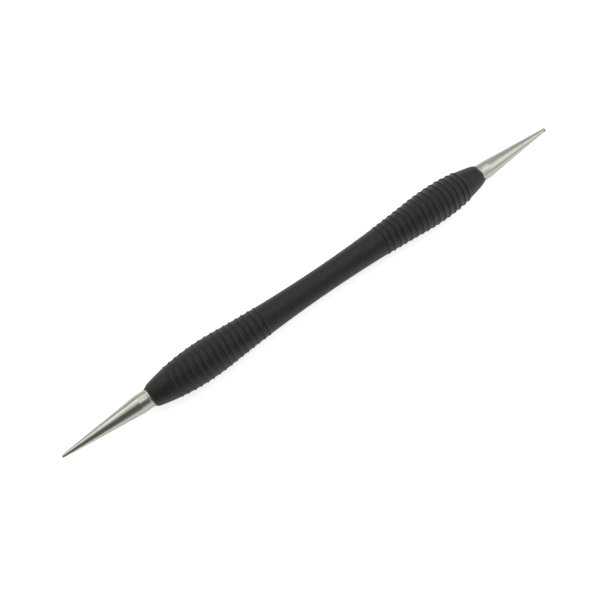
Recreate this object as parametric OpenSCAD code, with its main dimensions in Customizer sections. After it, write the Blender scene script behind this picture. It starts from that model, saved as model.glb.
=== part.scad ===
// Double-ended embossing stylus: a ribbed rubber grip on a metal core, with a fine
// point at one end and a small ball at the other. Sizes are in millimetres.
// The tool lies along X, with the ball towards +X. The origin is on its axis, halfway
// between its two ends. The outlines below count their places from the grip's middle.

/* [Lengths] */
// Length of the rubber grip
grip_length = 123; // [118:1:132]
// Length of the tip with the fine point, outside the grip
point_length = 29.5; // [22:0.5:40]
// Length of the tip with the ball, outside the grip
ball_length = 28.5; // [22:0.5:40]

/* [Grip shape] */
// Diameter of the grip at its waist
waist_d = 8.1; // [7.6:0.1:10]
// Diameter of the grip at the top of each bulge, under the ribs
crest_d = 11.6; // [10.6:0.1:13]
// Diameter where the grip runs out at each end
grip_end_d = 6.7; // [6.4:0.05:7.4]
// Distance from the grip's middle to the top of each bulge
crest_pos = 43.5; // [41:0.5:46]
// Distance from the grip's middle to where the hollow waist turns into the bulge
turn_pos = 36; // [33:0.5:38]
// Radius of the rounded rim at each end of the grip
rim_round = 0.35; // [0.15:0.05:0.35]

/* [Ribs] */
// Number of ribs on each bulge
rib_count = 16; // [8:1:16]
// Distance from the grip's middle to the first rib
first_rib_pos = 22.5; // [18:0.5:23]
// Distance between the two ribs of a pair
rib_pair_step = 1.98; // [1.6:0.02:2.04]
// Distance from the last rib of one pair to the first of the next
rib_group_step = 2.22; // [1.8:0.02:2.3]
// Width of a rib where it meets the grip
rib_w = 0.8; // [0.5:0.05:1.2]
// Height of a rib above the grip
rib_h = 0.28; // [0.16:0.01:0.4]

/* [Core] */
// Outer diameter of the core tube
core_d = 5.6; // [5:0.1:5.7]
// Gap between the core tube and the rubber around it
core_gap = 0.02; // [0.01:0.01:0.06]
// Diameter of a tip's shank
shank_d = 3; // [2:0.1:3.6]
// Length of a tip's shank
shank_length = 12; // [8:1:30]
// Gap between a shank and the core tube around it
shank_gap = 0.02; // [0.01:0.01:0.06]
// Bevel on the inner end of a shank
shank_bevel = 0.4; // [0.1:0.1:0.8]

/* [Tips] */
// Diameter of the collar behind each cone
collar_d = 5.7; // [5:0.1:5.9]
// Length of the collar
collar_length = 3; // [2:0.25:6]
// Diameter of the flange that stops the rubber
flange_d = 6.1; // [6:0.05:6.2]
// Thickness of the flange
flange_length = 0.6; // [0.4:0.05:1]
// Diameter of the fine point
point_d = 1; // [0.5:0.05:2]
// Diameter of the neck behind the ball
neck_d = 1.35; // [0.6:0.05:1.4]
// Diameter of the ball
ball_d = 1.5; // [1.5:0.05:3]
// Gap between the ball and its cup, filled when it is brazed
ball_gap = 0.02; // [0.01:0.01:0.04]

/* [Hidden] */

// Segments of a round part and of a small circle
round_fn = 128;
bead_fn = 32;
// Steps along half of the grip's outline, and round the arc of its rim
outline_steps = 60;
rim_steps = 6;

half_grip = grip_length / 2;
point_reach = half_grip + point_length;
ball_reach = half_grip + ball_length;
// The grip's middle lies off the origin by half of what one tip is longer than the other
grip_middle = (point_reach - ball_reach) / 2;
waist_r = waist_d / 2;
crest_r = crest_d / 2;
grip_end_r = grip_end_d / 2;
bore_r = core_d / 2 + core_gap;

// The outline is a hollow arc at the waist and a full arc up to the crest, tangent where
// the waist turns, and a third arc that falls from the crest to the end of the grip.
turn_angle = 2 * atan((crest_r - waist_r) / crest_pos);
waist_arc_r = turn_pos / sin(turn_angle);
crest_arc_r = (crest_pos - turn_pos) / sin(turn_angle);
shoulder_run = half_grip - crest_pos;
shoulder_drop = crest_r - grip_end_r;
shoulder_arc_r = (shoulder_run ^ 2 + shoulder_drop ^ 2) / (2 * shoulder_drop);

// The rim's small arc touches the shoulder arc inside and the flat end of the grip
rim_pos = half_grip - rim_round;
rim_turn = asin((rim_pos - crest_pos) / (shoulder_arc_r - rim_round));
rim_centre_r = crest_r - shoulder_arc_r + (shoulder_arc_r - rim_round) * cos(rim_turn);
rim_touch_pos = crest_pos + shoulder_arc_r * sin(rim_turn);

// A rib is a bead: the cap of a circle that stands rib_h out of a base rib_w wide
bead_r = (rib_w ^ 2 / 4 + rib_h ^ 2) / (2 * rib_h);

// Where the round collar ends and the cone starts
cone_start = half_grip + flange_length + collar_length;
// Height of the flange above the collar, which is also the size of its bevel
flange_bevel = (flange_d - collar_d) / 2;

ball_r = ball_d / 2;
ball_pos = ball_reach - ball_r;
// The neck ends inside the ball's cup, with its rim on the ball's surface
neck_end = ball_pos - sqrt(ball_r ^ 2 - (neck_d / 2) ^ 2);

// Radius of the smooth grip at a distance from its middle, without its ribs
function grip_r(pos) =
    pos < turn_pos ? waist_r + waist_arc_r - sqrt(waist_arc_r ^ 2 - pos ^ 2)
    : pos < crest_pos ? crest_r - crest_arc_r + sqrt(crest_arc_r ^ 2 - (crest_pos - pos) ^ 2)
    : crest_r - shoulder_arc_r + sqrt(shoulder_arc_r ^ 2 - (pos - crest_pos) ^ 2);

// Distance of a rib from the grip's middle: the ribs stand in pairs, counted from 0
function rib_pos(i) =
    first_rib_pos + floor(i / 2) * (rib_pair_step + rib_group_step) + (i % 2) * rib_pair_step;

// Turns an outline, drawn as radius across and place along the tool, into a round part
module turned() {
    translate([grip_middle, 0, 0]) rotate([0, 90, 0]) rotate_extrude($fn = round_fn) children();
}

// The smooth side of the grip, from one rim to the other
function side_points() = [
    for (i = [-outline_steps : outline_steps])
        let (pos = i / outline_steps * rim_touch_pos)
            [grip_r(abs(pos)), pos]
];

// The rim at one end, from the side to the flat end or back: end is 1 or -1
function rim_points(end) = [
    for (i = [1 : rim_steps])
        let (step = end > 0 ? i : rim_steps + 1 - i)
        let (turn = rim_turn + (90 - rim_turn) * step / rim_steps)
            [rim_centre_r + rim_round * cos(turn), end * (rim_pos + rim_round * sin(turn))]
];

module grip_outline() {
    polygon(concat(
        [[bore_r, -half_grip]],
        rim_points(-1),
        side_points(),
        rim_points(1),
        [[bore_r, half_grip]]
    ));
}

// The ribs of the bulge on the ball's side
module rib_outlines() {
    for (i = [0 : rib_count - 1])
        translate([grip_r(rib_pos(i)) + rib_h - bead_r, rib_pos(i)]) circle(bead_r, $fn = bead_fn);
}

// The ribbed hourglass of rubber, with its straight bore
module grip_sleeve() {
    color([0.18, 0.18, 0.17]) turned() {
        grip_outline();
        rib_outlines();
        mirror([0, 1]) rib_outlines();
    }
}

// The tube that both shanks are fixed in, flush with the ends of the rubber
module core_tube() {
    core_bore_r = shank_d / 2 + shank_gap;
    color([0.7, 0.71, 0.72]) turned()
        translate([core_bore_r, -half_grip]) square([core_d / 2 - core_bore_r, grip_length]);
}

// Shank, bevelled flange, collar and cone of a tip, up to a given end of the cone
module tip_outline(cone_end, cone_end_r) {
    shank_start = half_grip - shank_length;
    polygon([
        [0, shank_start],
        [shank_d / 2 - shank_bevel, shank_start],
        [shank_d / 2, shank_start + shank_bevel],
        [shank_d / 2, half_grip],
        [flange_d / 2, half_grip],
        [flange_d / 2, half_grip + flange_length - flange_bevel],
        [collar_d / 2, half_grip + flange_length],
        [collar_d / 2, cone_start],
        [cone_end_r, cone_end],
        [0, cone_end],
    ]);
}

// The tip with the fine point, rounded by a sphere that the cone touches
module point_tip() {
    nose_r = point_d / 2;
    nose_pos = point_reach - nose_r;
    // Half the cone's angle, of the line from the collar's edge that touches the nose
    run = nose_pos - cone_start;
    taper = atan(collar_d / 2 / run) - asin(nose_r / sqrt(run ^ 2 + (collar_d / 2) ^ 2));
    color([0.8, 0.81, 0.78]) turned() mirror([0, 1]) {
        tip_outline(nose_pos + nose_r * sin(taper), nose_r * cos(taper));
        intersection() {
            translate([0, nose_pos]) circle(nose_r, $fn = bead_fn);
            translate([0, nose_pos]) square(nose_r);
        }
    }
}

// The tip with the thin neck, whose end is a cup for the ball
module ball_tip() {
    color([0.8, 0.81, 0.78]) turned() difference() {
        tip_outline(neck_end, neck_d / 2);
        translate([0, ball_pos]) circle(ball_r + ball_gap, $fn = bead_fn);
    }
}

module tip_ball() {
    color([0.72, 0.73, 0.72]) translate([grip_middle + ball_pos, 0, 0])
        sphere(ball_r, $fn = round_fn);
}

grip_sleeve();
core_tube();
point_tip();
ball_tip();
tip_ball();
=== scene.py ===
"""Embossing stylus: the finish of every piece, a pale floor, soft light and the camera,
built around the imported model. Lengths are in metres, and sizes are written as N * MM."""

import math

import bpy
import numpy as np
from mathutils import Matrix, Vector


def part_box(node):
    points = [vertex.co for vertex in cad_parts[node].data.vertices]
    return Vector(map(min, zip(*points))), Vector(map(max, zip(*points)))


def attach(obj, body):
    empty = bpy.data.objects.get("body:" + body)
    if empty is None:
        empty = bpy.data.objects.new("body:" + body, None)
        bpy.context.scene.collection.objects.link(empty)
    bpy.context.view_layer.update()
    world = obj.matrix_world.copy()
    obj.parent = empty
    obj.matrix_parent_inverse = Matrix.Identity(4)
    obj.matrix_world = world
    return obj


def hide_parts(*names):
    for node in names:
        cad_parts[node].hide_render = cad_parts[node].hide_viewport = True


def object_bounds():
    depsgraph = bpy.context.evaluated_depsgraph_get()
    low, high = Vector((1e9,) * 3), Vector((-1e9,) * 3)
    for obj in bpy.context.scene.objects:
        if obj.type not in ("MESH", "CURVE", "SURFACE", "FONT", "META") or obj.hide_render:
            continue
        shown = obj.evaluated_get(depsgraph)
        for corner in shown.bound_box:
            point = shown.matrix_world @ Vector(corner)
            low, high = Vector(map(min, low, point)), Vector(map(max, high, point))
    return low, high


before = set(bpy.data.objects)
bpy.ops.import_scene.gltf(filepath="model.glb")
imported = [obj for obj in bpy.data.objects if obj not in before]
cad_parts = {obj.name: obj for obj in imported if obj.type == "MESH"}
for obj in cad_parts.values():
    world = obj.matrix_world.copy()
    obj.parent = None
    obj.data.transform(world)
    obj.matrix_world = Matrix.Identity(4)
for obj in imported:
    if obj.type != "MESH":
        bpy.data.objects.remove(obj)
cad_low, cad_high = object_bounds()

MM = 0.001

# The one body, and the gap between the core tube and the rubber, as in the part's source
BODY = "root"
CORE_GAP = 0.02 * MM

# Places taken from the frame
sleeve_low, sleeve_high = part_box("grip_sleeve")
core_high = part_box("core_tube")[1]
ball_low, ball_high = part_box("tip_ball")
GRIP_MIDDLE = (sleeve_low.x + sleeve_high.x) / 2
HALF_GRIP = (sleeve_high.x - sleeve_low.x) / 2
RIB_TOP = sleeve_high.z
BORE_R = core_high.z + CORE_GAP
POINT_END = GRIP_MIDDLE - cad_low.x
BALL_R = (ball_high.z - ball_low.z) / 2
BALL_PLACE = (ball_low.x + ball_high.x) / 2 - GRIP_MIDDLE
FLOOR_Z = cad_low.z

# Sizes of the grip's outline and ribs, as in the part's source
WAIST_R = 4.05 * MM
CREST_R = 5.8 * MM
GRIP_END_R = 3.35 * MM
CREST_PLACE = 43.5 * MM
TURN_PLACE = 36.0 * MM
RIB_COUNT = 16
FIRST_RIB = 22.5 * MM
RIB_PAIR_STEP = 1.98 * MM
RIB_GROUP_STEP = 2.22 * MM
RIB_HEIGHT = RIB_TOP - CREST_R

# Finer sizes of the rubber: half of a rib's foot and of its painted shade, how far towards
# the point the painted shade sits, how uneven a rib is, and the rounded end with its thin lip
RIB_FOOT = 0.5 * MM
RIB_PAINTED_SHADE_FOOT = 0.8 * MM
RIB_PAINTED_SHADE_SHIFT = 0.2 * MM
RIB_UNEVENNESS = 0.12
END_ROUND_LENGTH = 1.0 * MM
LIP_R = 3.08 * MM
LIP_ROOT_R = 3.065 * MM

# How much fuller the rubber stands between its ribs than the solid, as places counted
# from the grip's middle and the extra radius there
FULLNESS = [(-HALF_GRIP, 0.13 * MM), (-52 * MM, 0.065 * MM), (40 * MM, 0.065 * MM), (50 * MM, 0)]

# Rings of the grip's mesh: their steps along the waist and the shoulders, the space they
# keep from the outer ribs and the rims, how far a rib's own rings go from its top, and
# their numbers on half a rib, beside it, over a rim and along the bore
WAIST_RING_STEP = 1.0 * MM
FIRST_WAIST_RING = 0.75 * MM
SHOULDER_RING_STEP = 0.35 * MM
RIB_CLEARANCE = 1.2 * MM
RIM_CLEARANCE = 0.05 * END_ROUND_LENGTH
RIB_REACH = RIB_PAIR_STEP / 2
RINGS_ON_FLANK = 6
RINGS_BESIDE_RIB = 2
RIM_RINGS = 9
BORE_RINGS = 30

# Sizes of the two turned tips, as in the part's source
SHANK_R = 1.5 * MM
SHANK_LENGTH = 12.0 * MM
SHANK_BEVEL = 0.4 * MM
FLANGE_R = 3.05 * MM
FLANGE_LENGTH = 0.6 * MM
COLLAR_R = 2.85 * MM
COLLAR_LENGTH = 3.0 * MM
POINT_R = 0.5 * MM
NECK_R = 0.675 * MM

# Finer sizes of the tips: the swell of the point's cone and the length over which it
# fades, the rounds, the first ring round the axis, and the braze between neck and ball
POINT_SWELL = 0.08 * MM
POINT_SWELL_FADE = 3.0 * MM
EDGE_ROUND = 0.06 * MM
CONE_START_ROUND = 2.0 * MM
AXIS_RING_R = 0.05 * MM
NOSE_LAST_LIFT = math.radians(86)
NOSE_RINGS = 11
BRAZE_START = 0.1 * MM
BRAZE_REACH = 0.08 * MM
BRAZE_TAPER = 0.98

# Where the rubber's rims reach over the flanges or, below 0, stop short of them: the
# middle and half width of each stretch, in degrees round the tool from +Y towards +Z, and
# its reach
POINT_RIM_STRETCHES = [
    (42, 10, 0.6 * MM),
    (150, 30, 0.08 * MM),
]
BALL_RIM_STRETCHES = [
    (162, 30, 0.5 * MM),
    (80, 58, -0.35 * MM),
    (120, 9, 0.1 * MM),
    (250, 70, 0.1 * MM),
]

# Cells in a metre of the noises that mottle, wear, grain and dust the rubber
MOTTLE_CELLS = 900.0
WEAR_CELLS = 1300.0
GRAIN_CELLS = 9000.0
DUST_CELLS = 22000.0

# Colours of the rubber: between its mottles and on them, its dust, and the painted shade on its ribs
RUBBER_BLACK = (0.0035, 0.0035, 0.0033, 1)
RUBBER_MOTTLE = (0.0065, 0.0065, 0.006, 1)
RUBBER_DUST = (0.06, 0.06, 0.056, 1)
RIB_PAINTED_SHADE_BLACK = (0.002, 0.002, 0.002, 1)

# Surfaces of revolution about the tool's axis


def turns_round(around):
    """The angles, from 0, of the points of a ring in equal steps round the tool."""
    return np.arange(around) / around * 2 * math.pi


def turned_points(places, radii, around):
    """Points of a surface turned about the tool's axis. places and radii are arrays of
    one row per ring, with one value or one per point round the ring. A point is at
    (place, radius * cos(turn), radius * sin(turn)), with turn going round once."""
    turn = turns_round(around)
    places = np.broadcast_to(np.reshape(places, (len(places), -1)), (len(places), around))
    radii = np.broadcast_to(np.reshape(radii, (len(radii), -1)), (len(radii), around))
    rings = np.stack([places, radii * np.cos(turn), radii * np.sin(turn)], axis=-1)
    return rings.reshape(-1, 3)


def ring_quads(rings, around, wraps):
    """Quads between neighbouring rings, facing away from the axis where the rings run
    towards +X. If wraps, the last ring joins the first."""
    first = np.arange(rings if wraps else rings - 1)
    second = (first + 1) % rings
    step = np.arange(around)
    after = (step + 1) % around
    corners = [
        first[:, None] * around + step,
        first[:, None] * around + after,
        second[:, None] * around + after,
        second[:, None] * around + step,
    ]
    return np.stack(corners, axis=-1).reshape(-1, 4)


def new_piece(name, points, faces, material, slot, *nodes):
    """A smooth mesh object at the origin that rides on the tool and stands for nodes."""
    mesh = bpy.data.meshes.new(name)
    mesh.from_pydata(points.tolist(), [], faces)
    mesh.polygons.foreach_set("use_smooth", np.ones(len(mesh.polygons), dtype=bool))
    mesh.materials.append(material)
    mesh.update()
    piece = bpy.data.objects.new(name, mesh)
    bpy.context.scene.collection.objects.link(piece)
    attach(piece, BODY)
    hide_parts(*nodes)
    return piece


def turned_solid(name, outline, around, material, slot, *nodes):
    """A solid turned from an outline of (place, radius) rows that runs towards +X. Each
    end of the outline closes on one point of the axis."""
    points = turned_points(outline[:, 0], outline[:, 1], around)
    last_ring = (len(outline) - 1) * around
    poles = np.array([[outline[0, 0], 0, 0], [outline[-1, 0], 0, 0]])
    step = np.arange(around)
    after = (step + 1) % around
    start_pole = np.full(around, len(points))
    end_pole = start_pole + 1
    start_fan = np.stack([start_pole, after, step], axis=-1)
    end_fan = np.stack([end_pole, last_ring + step, last_ring + after], axis=-1)
    faces = ring_quads(len(outline), around, False).tolist()
    faces += start_fan.tolist() + end_fan.tolist()
    new_piece(name, np.vstack([points, poles]), faces, material, slot, *nodes)


def rounded_outline(corners, arc_steps=5, spacing=0.25 * MM):
    """Points of an outline through corners of (place, radius, round). Each corner that
    has a round becomes an arc that touches both of its sides, and the straight
    stretches between get rings no further apart than spacing."""
    corners = np.array(corners, dtype=float)
    stretches = []
    for i, (place, radius, rounding) in enumerate(corners):
        corner = np.array([place, radius])
        if rounding == 0 or i in (0, len(corners) - 1):
            stretches.append(corner[None])
            continue
        back = corners[i - 1, :2] - corner
        onward = corners[i + 1, :2] - corner
        back /= np.linalg.norm(back)
        onward /= np.linalg.norm(onward)
        half_turn = math.acos(np.clip(back @ onward, -1, 1)) / 2
        inward = (back + onward) / np.linalg.norm(back + onward)
        centre = corner + inward * (rounding / math.sin(half_turn))
        from_centre = corner + back * rounding / math.tan(half_turn) - centre
        to_centre = corner + onward * rounding / math.tan(half_turn) - centre
        share = np.linspace(0, 1, arc_steps + 1)[:, None]
        sweep = math.pi - 2 * half_turn
        arc = from_centre * np.sin((1 - share) * sweep) + to_centre * np.sin(share * sweep)
        stretches.append(centre + arc / math.sin(sweep))
    outline = [stretches[0]]
    for before, stretch in zip(stretches, stretches[1:]):
        gap = stretch[0] - before[-1]
        count = max(1, math.ceil(np.linalg.norm(gap) / spacing))
        share = np.arange(1, count)[:, None] / count
        outline += [before[-1] + gap * share, stretch]
    return np.vstack(outline)


# Node groups and materials


def new_group(name, inputs, outputs):
    """An empty shader node group, with its input and output nodes. inputs maps a socket's
    name to its type and default value, or None, and outputs maps a name to its type."""
    group = bpy.data.node_groups.new(name, "ShaderNodeTree")
    for label, (kind, default) in inputs.items():
        socket = group.interface.new_socket(label, in_out="INPUT", socket_type=kind)
        if default is not None:
            socket.default_value = default
    for label, kind in outputs.items():
        group.interface.new_socket(label, in_out="OUTPUT", socket_type=kind)
    ends = group.nodes.new("NodeGroupInput"), group.nodes.new("NodeGroupOutput")
    return group, *ends


def add_node(tree, kind, inputs=None, **settings):
    """A node with its settings. inputs maps a socket's name or number to a value or to
    the output socket that feeds it."""
    node = tree.nodes.new(kind)
    for name, value in settings.items():
        setattr(node, name, value)
    for key, value in (inputs or {}).items():
        if isinstance(value, bpy.types.NodeSocket):
            tree.links.new(value, node.inputs[key])
        else:
            node.inputs[key].default_value = value
    return node


def maths(tree, operation, *values):
    """The result of a Math node on sockets or numbers."""
    node = add_node(tree, "ShaderNodeMath", dict(enumerate(values)), operation=operation)
    return node.outputs[0]


def noise(tree, vector, scale, detail=2.0, roughness=0.5):
    """The 0 to 1 value of a Noise Texture, whose cells are about 1 / scale wide in the
    units of the vector."""
    inputs = {"Vector": vector, "Scale": scale, "Detail": detail, "Roughness": roughness}
    return add_node(tree, "ShaderNodeTexNoise", inputs).outputs[0]


def remap(tree, value, low, high, new_low=0.0, new_high=1.0):
    """value moved smoothly from the range low to high into new_low to new_high."""
    inputs = {0: value, 1: low, 2: high, 3: new_low, 4: new_high}
    node = add_node(tree, "ShaderNodeMapRange", inputs, interpolation_type="SMOOTHSTEP")
    return node.outputs[0]


def mix_colours(tree, share, colour, other):
    """colour at share 0 and other at share 1."""
    node = add_node(tree, "ShaderNodeMix", data_type="RGBA")
    sockets = node.inputs[0], node.inputs[6], node.inputs[7]
    for socket, value in zip(sockets, (share, colour, other)):
        if isinstance(value, bpy.types.NodeSocket):
            tree.links.new(value, socket)
        else:
            socket.default_value = value
    return node.outputs[2]


def make_smudge_group():
    """Faint patches left by handling, as a mask, from two sizes of noise."""
    inputs = {
        "Coordinates": ("NodeSocketVector", None),
        "Patch Size": ("NodeSocketFloat", 4.0 * MM),
        "Amount": ("NodeSocketFloat", 0.5),
    }
    group, given, result = new_group("handling_smudges", inputs, {"Mask": "NodeSocketFloat"})
    scale = maths(group, "DIVIDE", 1.0, given.outputs["Patch Size"])
    wide = noise(group, given.outputs["Coordinates"], scale, 3.0, 0.55)
    fine_scale = maths(group, "MULTIPLY", scale, 6.0)
    fine = noise(group, given.outputs["Coordinates"], fine_scale, 2.0, 0.6)
    broken_up = remap(group, fine, 0.3, 0.7, 0.5, 1.0)
    patches = maths(group, "MULTIPLY", remap(group, wide, 0.42, 0.68), broken_up)
    mask = maths(group, "MULTIPLY", patches, given.outputs["Amount"])
    group.links.new(mask, result.inputs["Mask"])
    return group


def make_turning_group():
    """Fine rings left by a lathe and its polishing: noise that changes fast along the
    tool and hardly at all round it. Puts out a height from 0 to 1."""
    inputs = {
        "Coordinates": ("NodeSocketVector", None),
        "Ring Width": ("NodeSocketFloat", 0.05 * MM),
    }
    group, given, result = new_group("turning_rings", inputs, {"Height": "NodeSocketFloat"})
    parts = add_node(group, "ShaderNodeSeparateXYZ", {0: given.outputs["Coordinates"]}).outputs
    along = maths(group, "DIVIDE", parts[0], given.outputs["Ring Width"])
    across = maths(group, "MULTIPLY", parts[1], 60.0)
    up = maths(group, "MULTIPLY", parts[2], 60.0)
    place = add_node(group, "ShaderNodeCombineXYZ", {0: along, 1: across, 2: up}).outputs[0]
    group.links.new(noise(group, place, 1.0, 3.0, 0.6), result.inputs["Height"])
    return group


def new_material(name):
    """A material with nodes, its Principled shader and Object coordinates."""
    material = bpy.data.materials.new(name)
    material.use_nodes = True
    tree = material.node_tree
    shader = tree.nodes["Principled BSDF"]
    place = tree.nodes.new("ShaderNodeTexCoord").outputs["Object"]
    return material, tree, shader, place


def use_group(tree, group, **inputs):
    """A group's node. Underscores in an input's name stand for spaces."""
    node = tree.nodes.new("ShaderNodeGroup")
    node.node_tree = group
    for name, value in inputs.items():
        socket = node.inputs[name.replace("_", " ")]
        if isinstance(value, bpy.types.NodeSocket):
            tree.links.new(value, socket)
        else:
            socket.default_value = value
    return node


def bump(tree, shader, *layers):
    """Stacks bump layers of (height socket, distance in metres) on a shader's normal."""
    normal = None
    for height, distance in layers:
        inputs = {"Height": height, "Distance": distance}
        node = add_node(tree, "ShaderNodeBump", inputs)
        if normal is not None:
            tree.links.new(normal, node.inputs["Normal"])
        normal = node.outputs[0]
    tree.links.new(normal, shader.inputs["Normal"])


def make_rubber(smudges):
    """Matt black moulded rubber: fine grain, faint mottling, patches that are worn a
    little shinier, and dust that shows grey. Along the ribs, shade is painted into the
    colour as a near black, and the rubber there is duller."""
    material, tree, shader, place = new_material("moulded_rubber")
    rib = add_node(tree, "ShaderNodeAttribute", attribute_name="painted_rib_shade").outputs["Fac"]
    mottle = noise(tree, place, MOTTLE_CELLS, 4.0, 0.6)
    wear = noise(tree, place, WEAR_CELLS, 3.0, 0.65)
    grain = noise(tree, place, GRAIN_CELLS, 3.0, 0.6)
    dust = noise(tree, place, DUST_CELLS, 1.0, 0.5)
    mottled = mix_colours(tree, remap(tree, mottle, 0.3, 0.7), RUBBER_BLACK, RUBBER_MOTTLE)
    dusty = mix_colours(tree, remap(tree, dust, 0.66, 0.8, 0.0, 0.35), mottled, RUBBER_DUST)
    # Painted shade: the colour is darkened towards a near black along each rib, by the rib shade
    # mask
    colour = mix_colours(tree, maths(tree, "MULTIPLY", rib, 0.6), dusty, RIB_PAINTED_SHADE_BLACK)
    tree.links.new(colour, shader.inputs["Base Color"])
    handled = use_group(tree, smudges, Coordinates=place, Patch_Size=6.0 * MM, Amount=1.0).outputs[0]
    dull = maths(tree, "MULTIPLY_ADD", rib, 0.1, remap(tree, grain, 0.3, 0.7, 0.44, 0.52))
    roughness = maths(tree, "SUBTRACT", dull, maths(tree, "MULTIPLY", handled, 0.05))
    tree.links.new(roughness, shader.inputs["Roughness"])
    worn = remap(tree, wear, 0.3, 0.7, 0.48, 0.68)
    shine = maths(tree, "SUBTRACT", worn, maths(tree, "MULTIPLY", rib, 0.04))
    tree.links.new(shine, shader.inputs["Specular IOR Level"])
    shader.inputs["IOR"].default_value = 1.5
    shader.inputs["Specular Tint"].default_value = (1.0, 0.985, 0.955, 1)
    shader.inputs["Sheen Weight"].default_value = 0.23
    shader.inputs["Sheen Roughness"].default_value = 0.5
    bump(tree, shader, (mottle, 0.035 * MM), (grain, 0.012 * MM))
    return material


def make_steel(name, smudges, turning, bright, dull, roughness, ring_depth):
    """Smooth steel with the faint rings of turning and a few smudges, which are duller
    and rougher than the bright metal between them."""
    material, tree, shader, place = new_material(name)
    rings = use_group(tree, turning, Coordinates=place, Ring_Width=0.06 * MM).outputs[0]
    handled = use_group(tree, smudges, Coordinates=place, Patch_Size=3.0 * MM, Amount=1.0).outputs[0]
    tint = mix_colours(tree, maths(tree, "MULTIPLY", handled, 0.8), bright, dull)
    tree.links.new(tint, shader.inputs["Base Color"])
    shader.inputs["Metallic"].default_value = 1.0
    streak = remap(tree, rings, 0.3, 0.7, roughness * 0.85, roughness * 1.2)
    smudged = maths(tree, "ADD", streak, maths(tree, "MULTIPLY", handled, 0.08))
    tree.links.new(smudged, shader.inputs["Roughness"])
    bump(tree, shader, (rings, ring_depth))
    return material


smudge_group = make_smudge_group()
turning_group = make_turning_group()
rubber = make_rubber(smudge_group)
tip_steel = make_steel(
    "plated_tip_steel",
    smudge_group,
    turning_group,
    bright=(0.79, 0.80, 0.70, 1),
    dull=(0.68, 0.68, 0.6, 1),
    roughness=0.17,
    ring_depth=0.0011 * MM,
)
ball_steel = make_steel(
    "ball_steel",
    smudge_group,
    turning_group,
    bright=(0.66, 0.665, 0.62, 1),
    dull=(0.55, 0.55, 0.5, 1),
    roughness=0.14,
    ring_depth=0.0003 * MM,
)
core_metal = make_steel(
    "drawn_core_tube",
    smudge_group,
    turning_group,
    bright=(0.6, 0.61, 0.62, 1),
    dull=(0.45, 0.45, 0.46, 1),
    roughness=0.35,
    ring_depth=0.003 * MM,
)

# The rubber grip


def smooth_grip_radius(place):
    """Radius of the grip without ribs at a distance from its middle: a hollow arc, a full
    arc up to the crest and a third arc down to the end, each touching the next."""
    turn = 2 * math.atan((CREST_R - WAIST_R) / CREST_PLACE)
    waist_arc = TURN_PLACE / math.sin(turn)
    crest_arc = (CREST_PLACE - TURN_PLACE) / math.sin(turn)
    run = HALF_GRIP - CREST_PLACE
    drop = CREST_R - GRIP_END_R
    shoulder_arc = (run**2 + drop**2) / (2 * drop)
    waist = WAIST_R + waist_arc - np.sqrt(waist_arc**2 - np.minimum(place, TURN_PLACE) ** 2)
    before = np.clip(CREST_PLACE - place, 0, CREST_PLACE - TURN_PLACE)
    crest = CREST_R - crest_arc + np.sqrt(crest_arc**2 - before**2)
    after = np.maximum(place - CREST_PLACE, 0)
    shoulder = CREST_R - shoulder_arc + np.sqrt(shoulder_arc**2 - after**2)
    return np.where(place < TURN_PLACE, waist, np.where(place < CREST_PLACE, crest, shoulder))


def fullness(side):
    """The extra radius between the ribs at places along the grip, in straight lines from
    one place of FULLNESS to the next."""
    places, extras = np.transpose(FULLNESS)
    return np.interp(side, places, extras)


def rib_places():
    """Distance of each rib from the grip's middle. The ribs stand in pairs."""
    i = np.arange(RIB_COUNT)
    return FIRST_RIB + i // 2 * (RIB_PAIR_STEP + RIB_GROUP_STEP) + i % 2 * RIB_PAIR_STEP


def rib_share(place, foot):
    """1 on top of a rib and 0 between ribs, along a raised cosine across its foot."""
    nearest = np.min(np.abs(np.abs(place)[:, None] - rib_places()), axis=1)
    return 0.5 + 0.5 * np.cos(math.pi * np.clip(nearest / foot, 0, 1))


def rib_sway(turn, side):
    """How high a rib stands at each turn and place, as a share of its full height: 1 plus
    RIB_UNEVENNESS times the product of two waves. They have 3 and 8 crests round the tool,
    and wind along it."""
    wide_wave = np.sin(3 * turn + side / (3.1 * MM))
    narrow_wave = np.sin(8 * turn - side / (9 * MM))
    return 1 + RIB_UNEVENNESS * wide_wave * narrow_wave


def grip_places():
    """Places of the rings along the grip: close together on each rib and wider between.
    They are rounded to a micrometre, so that two ribs share the rings they both have."""
    on_flank = np.linspace(0, RIB_FOOT, RINGS_ON_FLANK)
    beside = np.linspace(RIB_FOOT, RIB_REACH, RINGS_BESIDE_RIB + 1)[1:]
    flank = np.concatenate([on_flank, beside])
    offsets = np.concatenate([-flank[:0:-1], flank])
    on_ribs = (rib_places()[:, None] + offsets).ravel()
    waist = np.arange(FIRST_WAIST_RING, FIRST_RIB - RIB_CLEARANCE, WAIST_RING_STEP)
    shoulder_start = rib_places()[-1] + RIB_CLEARANCE
    shoulder_end = HALF_GRIP - END_ROUND_LENGTH - RIM_CLEARANCE
    shoulder = np.arange(shoulder_start, shoulder_end, SHOULDER_RING_STEP)
    half = np.unique(np.round(np.concatenate([on_ribs, waist, shoulder]), 6))
    return np.concatenate([-half[::-1], [0.0], half])


def rim_reach(turn, stretches):
    """How far the rubber's rim reaches past the end of the grip at each turn: a raised
    cosine for each stretch of (middle, half width, reach), with angles in degrees."""
    reach = np.zeros(len(turn))
    for middle, half_width, length in stretches:
        off = np.abs((np.degrees(turn) - middle + 180) % 360 - 180) / half_width
        reach += length * (0.5 + 0.5 * np.cos(math.pi * np.clip(off, 0, 1)))
    return reach


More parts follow.
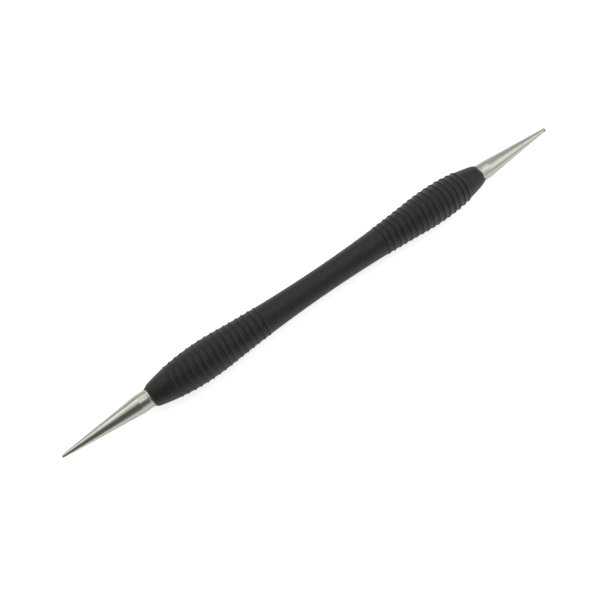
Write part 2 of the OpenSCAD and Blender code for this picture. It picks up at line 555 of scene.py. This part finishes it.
def rim_rings(end, turn, stretches):
    """The rings over the rim at one end, from the shoulder to the lip, as places counted
    towards that end and radii. They lie on a quarter of an ellipse, and follow the rim's
    reach more and more towards the lip. end is -1 at the point and 1 at the ball."""
    lift = np.linspace(0, math.pi / 2, RIM_RINGS)
    place = HALF_GRIP - END_ROUND_LENGTH * (1 - np.sin(lift))
    above_lip = smooth_grip_radius(place) - LIP_R + fullness(end * place)
    follow = np.clip((place - place[0]) / END_ROUND_LENGTH, 0, 1)[:, None] ** 2
    uneven_place = place[:, None] + follow * rim_reach(turn, stretches)
    return uneven_place, LIP_R + above_lip * np.cos(lift)


def make_grip(around=144):
    """The ribbed sleeve of rubber. Ring by ring, its radius is the smooth grip's plus the
    rib's, and each rib swells and thins a little round the tool, as moulded rubber does.
    The outline closes over both rims, which aren't quite even, and through the bore, whose
    ends lie under the lips and never outside the grip. painted_rib_shade holds painted shade: 1 on
    top of a rib, a little towards the point, and 0 between."""
    turn = turns_round(around)
    even = np.ones(around)
    side = grip_places()
    ribs = rib_share(side, RIB_FOOT)
    valleys = smooth_grip_radius(np.abs(side)) + fullness(side) * (1 - ribs)
    rib_heights = RIB_HEIGHT * ribs[:, None] * rib_sway(turn, side[:, None])
    side_r = np.minimum(valleys[:, None] + rib_heights, RIB_TOP)
    point_rim, point_rim_r = rim_rings(-1, turn, POINT_RIM_STRETCHES)
    ball_rim, ball_rim_r = rim_rings(1, turn, BALL_RIM_STRETCHES)
    point_root = np.minimum(point_rim[-1], HALF_GRIP)
    ball_root = np.minimum(ball_rim[-1], HALF_GRIP)
    bore_end = HALF_GRIP - END_ROUND_LENGTH
    bore = np.linspace(bore_end, -bore_end, BORE_RINGS)[:, None] * even
    bore = np.vstack([ball_root, ball_root, bore, -point_root, -point_root])
    bore_r = np.full(len(bore), BORE_R)
    bore_r[[0, -1]] = LIP_ROOT_R
    places = np.vstack([-point_rim[::-1], side[:, None] * even, ball_rim, bore])
    point_rim_r = point_rim_r[::-1, None] * even
    ball_rim_r = ball_rim_r[:, None] * even
    radii = np.vstack([point_rim_r, side_r, ball_rim_r, bore_r[:, None] * even])
    points = turned_points(places + GRIP_MIDDLE, radii, around)
    faces = ring_quads(len(radii), around, True).tolist()
    grip = new_piece("rubber_grip", points, faces, rubber, "grip_rubber", "grip_sleeve")
    # Painted shade: a mask, kept per point, that darkens the rubber's colour along each rib, a
    # little towards the point
    shade = np.zeros((len(radii), around), dtype=np.float32)
    painted_rib_shade = rib_share(side + RIB_PAINTED_SHADE_SHIFT, RIB_PAINTED_SHADE_FOOT)
    shade[RIM_RINGS : RIM_RINGS + len(side)] = painted_rib_shade[:, None]
    attribute = grip.data.attributes.new("painted_rib_shade", "FLOAT", "POINT")
    attribute.data.foreach_set("value", shade.ravel())


make_grip()

# The two turned tips and the ball


def tip_corners(cone_end, cone_end_r):
    """Corners of a tip's outline, as (place, radius, round) from its shank outwards, with
    places counted from the grip's middle."""
    shank_start = HALF_GRIP - SHANK_LENGTH
    collar_start = HALF_GRIP + FLANGE_LENGTH
    bevel = FLANGE_R - COLLAR_R
    return [
        (shank_start, AXIS_RING_R, 0),
        (shank_start, SHANK_R - SHANK_BEVEL, EDGE_ROUND),
        (shank_start + SHANK_BEVEL, SHANK_R, EDGE_ROUND),
        (HALF_GRIP, SHANK_R, EDGE_ROUND),
        (HALF_GRIP, FLANGE_R, EDGE_ROUND),
        (collar_start - bevel, FLANGE_R, EDGE_ROUND),
        (collar_start, COLLAR_R, EDGE_ROUND),
        (collar_start + COLLAR_LENGTH, COLLAR_R, CONE_START_ROUND),
        (cone_end, cone_end_r, 0),
    ]


def make_point_tip(around=96):
    """The fine tip: its cone, which swells by less than a tenth of a millimetre, runs into
    a small round nose, as an arc from the cone's line to the axis."""
    collar_start = HALF_GRIP + FLANGE_LENGTH
    cone_start = collar_start + COLLAR_LENGTH
    nose_place = POINT_END - POINT_R
    run = nose_place - cone_start
    taper = math.atan(COLLAR_R / run) - math.asin(POINT_R / math.hypot(run, COLLAR_R))
    cone_end = nose_place + POINT_R * math.sin(taper)
    outline = rounded_outline(tip_corners(cone_end, POINT_R * math.cos(taper)))
    swell_places = [collar_start, cone_start, cone_end - POINT_SWELL_FADE, cone_end]
    outline[:, 1] += np.interp(outline[:, 0], swell_places, [0, POINT_SWELL, POINT_SWELL, 0])
    lift = np.linspace(taper, NOSE_LAST_LIFT, NOSE_RINGS + 1)[1:]
    nose = np.stack([nose_place + POINT_R * np.sin(lift), POINT_R * np.cos(lift)], axis=-1)
    outline = np.vstack([outline, nose])
    outline[:, 0] = GRIP_MIDDLE - outline[:, 0]
    turned_solid("point_tip_turned", outline[::-1], around, tip_steel, "tip_steel", "point_tip")


def make_ball_tip(around=96):
    """The tip with the neck, which ends against the ball in a small rim of braze."""
    neck_end = BALL_PLACE - math.sqrt(BALL_R**2 - NECK_R**2)
    corners = tip_corners(neck_end - BRAZE_START, NECK_R)
    corners.append((neck_end + BRAZE_REACH, NECK_R * BRAZE_TAPER, 0))
    outline = rounded_outline(corners)
    outline[:, 0] += GRIP_MIDDLE
    turned_solid("ball_tip_turned", outline, around, tip_steel, "tip_steel", "ball_tip")


def make_ball(around=64, rings=32):
    """A ball: rings at even steps of latitude from pole to pole."""
    latitude = np.linspace(-math.pi / 2, math.pi / 2, rings + 2)[1:-1]
    places = BALL_PLACE + GRIP_MIDDLE + BALL_R * np.sin(latitude)
    outline = np.stack([places, BALL_R * np.cos(latitude)], axis=-1)
    turned_solid("steel_ball", outline, around, ball_steel, "ball_steel", "tip_ball")


make_point_tip()
make_ball_tip()
make_ball()

core_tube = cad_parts["core_tube"]
core_tube.data.materials.clear()
core_tube.data.materials.append(core_metal)

# The camera, fitted to the photograph: the side and the height that it looks from, its
# distance, its lens and the place in the middle of the picture
CAMERA_AZIMUTH = math.radians(-35.73)
CAMERA_ELEVATION = math.radians(70.93)
CAMERA_DISTANCE = 234.7 * MM
CAMERA_LENS = 46.75
SENSOR_WIDTH = 36.0
AIM = Vector((GRIP_MIDDLE - 9.244 * MM, -1.15 * MM, 0))


def make_camera():
    """A camera that looks down at AIM from CAMERA_DISTANCE, with its sides level."""
    level = math.cos(CAMERA_ELEVATION)
    back = Vector((
        level * math.sin(CAMERA_AZIMUTH),
        -level * math.cos(CAMERA_AZIMUTH),
        math.sin(CAMERA_ELEVATION),
    ))
    data = bpy.data.cameras.new("camera")
    data.lens = CAMERA_LENS
    data.sensor_width = SENSOR_WIDTH
    data.clip_start = 1 * MM
    data.clip_end = 20.0
    camera = bpy.data.objects.new("camera", data)
    camera.location = AIM + back * CAMERA_DISTANCE
    camera.rotation_mode = "QUATERNION"
    camera.rotation_quaternion = (-back).to_track_quat("-Z", "Y")
    bpy.context.scene.collection.objects.link(camera)
    bpy.context.scene.camera = camera


make_camera()

# The floor: its own colour, and the white that it adds for the camera and in the metal
FLOOR_HALF_SIZE = 6.0
FLOOR_COLOUR = (0.77, 0.77, 0.77, 1)
FLOOR_GLOW = 0.71
FLOOR_GLOW_IN_METAL = 0.06

# The studio round the tool: the brightness of its walls, and patches on them, each with
# the way it lies (its lean towards the front and its angle along the tool), how far from
# its middle it is full and where it is gone, all in degrees, and its brightness
WALL_BRIGHTNESS = 0.42
STUDIO_PATCHES = [
    # the long ceiling light at the back, and the brightest part of it
    (-28, -5, 27, 40, 0.76),
    (-47, -16, 3, 19, 1.08),
    # the ceiling over the ball
    (18, 36, 7, 39, 0.93),
    # the dark shape of the camera, in front
    (37, -21, 5, 61, 0.093),
    # the ceiling straight above
    (-4, 16, 5, 25, 0.92),
    # the wall beyond the ball
    (-32, 67, 9, 41, 0.36),
    # the front, low down
    (82, 2, 4, 18, 0.46),
    (80, 20, 6, 22, 0.52),
    # the wall beyond the point
    (-30, -45, 6, 24, 0.42),
    (38, -48, 6, 26, 0.26),
    # the back, low down
    (-86, -20, 8, 30, 0.34),
]


def make_floor():
    """A white floor. Part of what the camera sees of it is its own white, so that the
    background stays white, and the rest takes the object's soft shadow. The metal mirrors
    only a little of that white, because the studio's floor is duller than the picture's."""
    material = bpy.data.materials.new("white_floor")
    material.use_nodes = True
    tree = material.node_tree
    tree.nodes.clear()
    path = tree.nodes.new("ShaderNodeLightPath").outputs
    seen = maths(tree, "MAXIMUM", path["Is Camera Ray"], path["Is Transmission Ray"])
    mirrored = maths(tree, "MULTIPLY", path["Is Glossy Ray"], FLOOR_GLOW_IN_METAL)
    strength = maths(tree, "MAXIMUM", maths(tree, "MULTIPLY", seen, FLOOR_GLOW), mirrored)
    lit = add_node(tree, "ShaderNodeBsdfDiffuse", {"Color": FLOOR_COLOUR})
    glow = add_node(tree, "ShaderNodeEmission", {"Color": (1, 1, 1, 1), "Strength": strength})
    both = add_node(tree, "ShaderNodeAddShader", {0: lit.outputs[0], 1: glow.outputs[0]})
    output = tree.nodes.new("ShaderNodeOutputMaterial")
    tree.links.new(both.outputs[0], output.inputs["Surface"])
    square = [(-1, -1), (1, -1), (1, 1), (-1, 1)]
    corners = [(x * FLOOR_HALF_SIZE, y * FLOOR_HALF_SIZE, FLOOR_Z) for x, y in square]
    mesh = bpy.data.meshes.new("floor")
    mesh.from_pydata(corners, [], [(0, 1, 2, 3)])
    mesh.materials.append(material)
    floor = bpy.data.objects.new("floor", mesh)
    bpy.context.scene.collection.objects.link(floor)


def studio_direction(lean, along):
    """The direction that leans from straight up towards the front by lean degrees, and
    from there along the tool, towards the ball, by along degrees."""
    lean = math.radians(lean)
    along = math.radians(along)
    return math.sin(along), -math.cos(along) * math.sin(lean), math.cos(along) * math.cos(lean)


def make_world():
    """The studio that the tool mirrors. Going through the patches, the strength in a
    direction moves towards each patch's brightness by the patch's share there, which falls
    smoothly from 1 to 0 between its two angles. The camera sees white instead."""
    world = bpy.data.worlds.new("studio")
    bpy.context.scene.world = world
    world.use_nodes = True
    tree = world.node_tree
    tree.nodes.clear()
    direction = tree.nodes.new("ShaderNodeTexCoord").outputs["Generated"]
    strength = WALL_BRIGHTNESS
    for lean, along, full, gone, brightness in STUDIO_PATCHES:
        vectors = {0: direction, 1: studio_direction(lean, along)}
        nearness = add_node(tree, "ShaderNodeVectorMath", vectors, operation="DOT_PRODUCT")
        full_at, gone_at = math.cos(math.radians(full)), math.cos(math.radians(gone))
        share = remap(tree, nearness.outputs["Value"], gone_at, full_at)
        patch = maths(tree, "MULTIPLY", share, brightness)
        rest = maths(tree, "MULTIPLY", maths(tree, "SUBTRACT", 1.0, share), strength)
        strength = maths(tree, "ADD", patch, rest)
    path = tree.nodes.new("ShaderNodeLightPath").outputs
    seen = maths(tree, "MAXIMUM", path["Is Camera Ray"], path["Is Transmission Ray"])
    strength = maths(tree, "MAXIMUM", strength, seen)
    light = add_node(tree, "ShaderNodeBackground", {"Color": (1, 1, 1, 1), "Strength": strength})
    output = tree.nodes.new("ShaderNodeOutputWorld")
    tree.links.new(light.outputs[0], output.inputs["Surface"])


def make_softbox(name, place, width, power):
    """A square lamp that points at the tool, with its place and width in metres and its
    power in watts. It fills the matt surfaces and throws a soft shadow. The metal doesn't
    mirror it, since the studio that the metal mirrors is painted on the world."""
    data = bpy.data.lights.new(name, "AREA")
    data.shape = "SQUARE"
    data.size = width
    data.energy = power
    lamp = bpy.data.objects.new(name, data)
    lamp.location = place
    lamp.rotation_mode = "QUATERNION"
    lamp.rotation_quaternion = (-Vector(place)).to_track_quat("-Z", "Y")
    lamp.visible_glossy = False
    lamp.visible_camera = False
    bpy.context.scene.collection.objects.link(lamp)


make_floor()
make_world()
make_softbox("ceiling_softbox", place=(0.4, 0.2, 0.7), width=0.8, power=2.8)
make_softbox("front_softbox", place=(0.4, -0.45, 0.3), width=0.4, power=0.7)
bpy.context.scene.view_settings.view_transform = "Standard"
